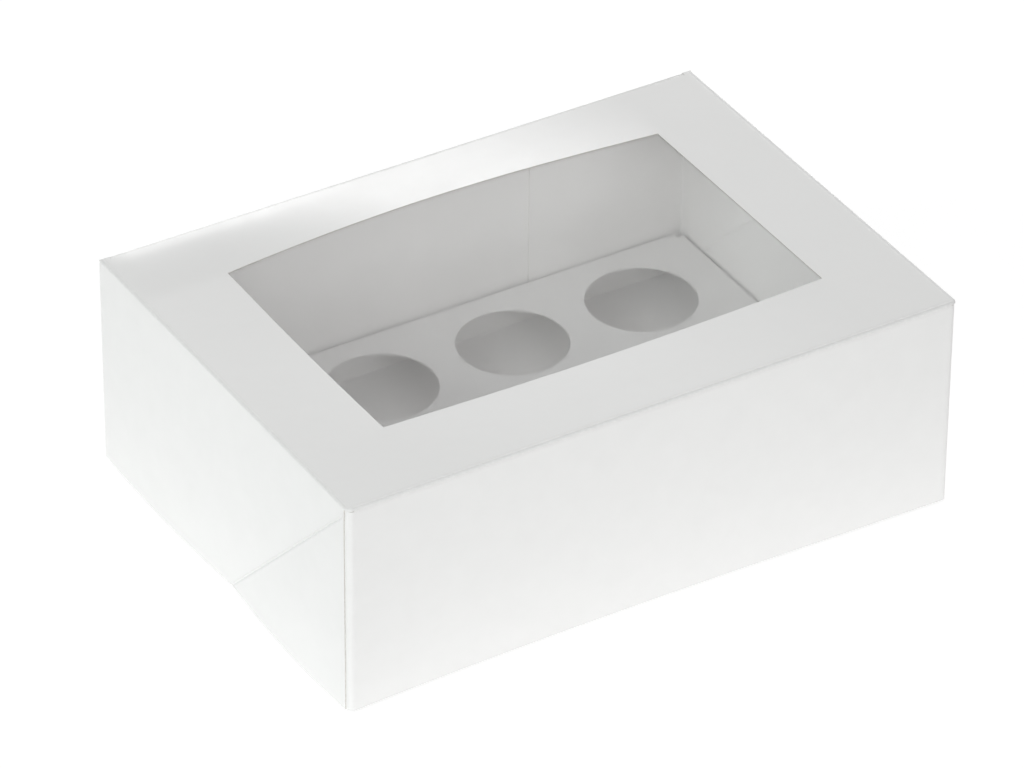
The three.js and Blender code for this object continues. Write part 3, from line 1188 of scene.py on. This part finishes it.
@dataclass(frozen=True)
class Lamp:
    """One soft lamp of the studio."""

    name: str
    place: Triple
    aim: Triple
    size: tuple[float, float]
    watts: float
    colour: Triple = (1.0, 1.0, 1.0)

    def build(self) -> None:
        """Hangs the lamp."""
        data = bpy.data.lights.new(self.name, "AREA")
        data.shape = "RECTANGLE"
        data.size, data.size_y = self.size
        data.energy = self.watts
        data.color = self.colour
        lamp = bpy.data.objects.new(self.name, data)
        lamp.location = self.place
        lamp.visible_camera = False
        lamp.rotation_mode = "QUATERNION"
        lamp.rotation_quaternion = (Vector(self.aim) - Vector(self.place)).to_track_quat("-Z", "Y")
        bpy.context.scene.collection.objects.link(lamp)


@dataclass
class Studio:
    """White floor with a glowing pool round the box, plain soft lamps, world and camera."""

    camera_place: Triple = (-1.3878, -2.2720, 1.9159)
    yaw: float = -31.274
    pitch_down: float = 34.948
    roll: float = 0.435
    lens: float = 240.24
    sky: float = 0.45
    floor_reach: float = 9.0
    floor_sink: float = 0.0003
    floor_glow: float = 0.775
    floor_tone: float = 0.32
    paper_tone: float = 0.86
    pool_glow: float = 0.5
    pool_shape: Triple = (3.0, 3.6, 0.0)
    pool_edge: tuple[float, float] = (0.6, 1.5)
    lamps: tuple[Lamp, ...] = (
        Lamp("front_soft", (-0.4, -2.4, 1.3), (0, 0, 0.05), (2.2, 1.2), 23.0),
        Lamp("left_soft", (-1.5, -0.3, 0.85), (0, 0, 0.05), (1.2, 0.8), 9.6, (0.95, 1.0, 0.985)),
        Lamp("back_low", (1.0, 2.1, 0.62), (0, 0.05, 0.1), (2.8, 0.7), 30.0),
    )

    def floor(self) -> bpy.types.Object:
        """Lays the floor, which shows white to the camera, keeps the box's shadow, and round the box glows
        onto the box's lower parts as painted light.
        """
        mesh = bmesh.new()
        bmesh.ops.create_grid(mesh, x_segments=8, y_segments=8, size=self.floor_reach)
        data = bpy.data.meshes.new("studio_floor")
        mesh.to_mesh(data)
        mesh.free()
        data.transform(Matrix.Translation((0, 0, -self.floor_sink)))
        floor = bpy.data.objects.new("studio_floor", data)
        bpy.context.scene.collection.objects.link(floor)
        material = bpy.data.materials.new("studio_white")
        material.use_nodes = True
        material.node_tree.nodes.clear()
        n = Nodes(material.node_tree)
        white = n.white_to_eyes()
        dim = n.add("ShaderNodeBsdfDiffuse", {"Color": (*[self.floor_tone] * 3, 1)})
        glow = n.add("ShaderNodeEmission", {"Color": (1, 1, 1, 1), "Strength": self.floor_glow})
        shown = n.add("ShaderNodeAddShader", {0: dim.outputs[0], 1: glow.outputs[0]})
        paper = n.add("ShaderNodeBsdfDiffuse", {"Color": (*[self.paper_tone] * 3, 1)})
        # Round the box the floor glows for the diffuse rays off the box: painted light onto its lower parts
        # from below, where no lamp is.
        place = n.add("ShaderNodeTexCoord").outputs["Object"]
        near = n.add("ShaderNodeVectorMath", {0: place, 1: self.pool_shape}, operation="MULTIPLY").outputs[0]
        far = n.add("ShaderNodeVectorMath", {0: near}, operation="LENGTH").outputs["Value"]
        low, high = self.pool_edge
        pool = n.add("ShaderNodeMapRange", {0: far, 1: low, 2: high, 3: self.pool_glow, 4: 0.0},
                     interpolation_type="SMOOTHSTEP").outputs[0]
        lit = n.add("ShaderNodeEmission", {"Color": (1, 1, 1, 1), "Strength": pool})
        bright = n.add("ShaderNodeAddShader", {0: paper.outputs[0], 1: lit.outputs[0]})
        both = n.add("ShaderNodeMixShader", {0: white, 1: bright.outputs[0], 2: shown.outputs[0]})
        n.add("ShaderNodeOutputMaterial", {"Surface": both.outputs[0]})
        data.materials.append(material)
        return floor

    def world(self) -> None:
        """Sets an even sky for the light, and plain white for what looks at it."""
        world = bpy.data.worlds.new("studio")
        world.use_nodes = True
        world.node_tree.nodes.clear()
        n = Nodes(world.node_tree)
        white = n.white_to_eyes()
        dim = n.add("ShaderNodeBackground", {"Color": (1, 1, 1, 1), "Strength": self.sky})
        full = n.add("ShaderNodeBackground", {"Color": (1, 1, 1, 1), "Strength": 1.0})
        both = n.add("ShaderNodeMixShader", {0: white, 1: dim.outputs[0], 2: full.outputs[0]})
        n.add("ShaderNodeOutputWorld", {"Surface": both.outputs[0]})
        bpy.context.scene.world = world

    def camera(self) -> None:
        """Places the camera where the photo was taken from."""
        yaw, pitch, roll = (math.radians(a) for a in (self.yaw, self.pitch_down, self.roll))
        ahead = Vector((-math.sin(yaw) * math.cos(pitch), math.cos(yaw) * math.cos(pitch), -math.sin(pitch)))
        level = Vector((math.cos(yaw), math.sin(yaw), 0))
        above = level.cross(ahead)
        across = math.cos(roll) * level + math.sin(roll) * above
        upward = -math.sin(roll) * level + math.cos(roll) * above
        data = bpy.data.cameras.new("photo_camera")
        data.lens = self.lens
        data.sensor_width = 36.0
        data.clip_start, data.clip_end = 0.05, 60.0
        camera = bpy.data.objects.new("photo_camera", data)
        turn = Matrix((across, upward, -ahead)).transposed().to_4x4()
        camera.matrix_world = Matrix.Translation(self.camera_place) @ turn
        bpy.context.scene.collection.objects.link(camera)
        bpy.context.scene.camera = camera

    def build(self) -> None:
        """Sets the whole studio up."""
        self.floor()
        self.world()
        for lamp in self.lamps:
            lamp.build()
        self.camera()
        bpy.context.scene.view_settings.view_transform = "Standard"


def seat(piece: bpy.types.Object, body: Body, finish: Finish, *nodes: str) -> None:
    """Puts a piece on its body and hides the CAD nodes that it stands for.

    Args:
        piece: The finished piece.
        body: The body that it rides on.
        finish: The record's material slot. Not used.
        nodes: CAD nodes that the piece stands for.
    """
    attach(piece, body.value)
    if nodes:
        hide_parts(*nodes)
    log.info("%s: %d faces, rides on %s", piece.name, len(piece.data.polygons), body.value)


def main() -> None:
    """Builds the box and its studio."""
    logging.basicConfig(level=logging.INFO, format="%(message)s")
    form = BoxForm()
    group = card_surface_group()
    # The outer finish's fold colour is darker than its clean white: painted shade along the fold roundings,
    # on top of the folds' wear.
    outside = CardFinish("coated_white", (0.80, 0.797, 0.79), (0.785, 0.782, 0.775),
                         (0.74, 0.737, 0.73)).build(group)
    # The inner face is a lighter white than the outer face: partly the uncoated board's own colour, partly
    # painted light for the interior, which gets its light only through the window.
    inside = CardFinish("uncoated_inside", (0.92, 0.905, 0.895), (0.90, 0.885, 0.875), (0.92, 0.91, 0.90),
                        smoothest=0.7, roughest=0.85, fibre_height=0.6).build(group)
    # A paler copy of the cut edge for the tray and the insert: a painted highlight where their cut edges
    # catch the light.
    highlit_edge = CardFinish("cut_edge_painted_highlight", (0.90, 0.885, 0.865), (0.85, 0.835, 0.81), (0.90, 0.89, 0.87),
                           mottle_scale=900.0, smoothest=0.85, roughest=0.95, fibre_height=1.5).build(group)
    edge = CardFinish("cut_edge", (0.70, 0.685, 0.66), (0.58, 0.56, 0.53), (0.72, 0.71, 0.69),
                      mottle_scale=900.0, smoothest=0.85, roughest=0.95, fibre_height=1.5).build(group)
    plate = CardFinish("insert_white", (0.90, 0.89, 0.885), (0.88, 0.868, 0.862), (0.90, 0.89, 0.885),
                       smoothest=0.6, roughest=0.75, fibre_height=0.5).build(group)
    board = [outside, inside, edge]
    seat(TrayCard(form).build([outside, inside, highlit_edge]), Body.TRAY, Finish.WHITE_BOARD, "base_tray")
    seat(InsertCard(form).build([plate, inside, highlit_edge]), Body.TRAY, Finish.INSERT_BOARD, "cupcake_insert")
    seat(LidCard(form).build(board), Body.LID, Finish.WHITE_BOARD, "lid")
    seat(WindowFilm(form).build(FilmFinish().build()), Body.LID, Finish.CLEAR_FILM, "window_film")
    score = HingeScore(form)
    strip = score.build(board)
    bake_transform(strip)
    log.info("%s: %d faces, bends between tray and lid", strip.name, len(strip.data.polygons))
    Studio().build()


if __name__ == "__main__":
    main()
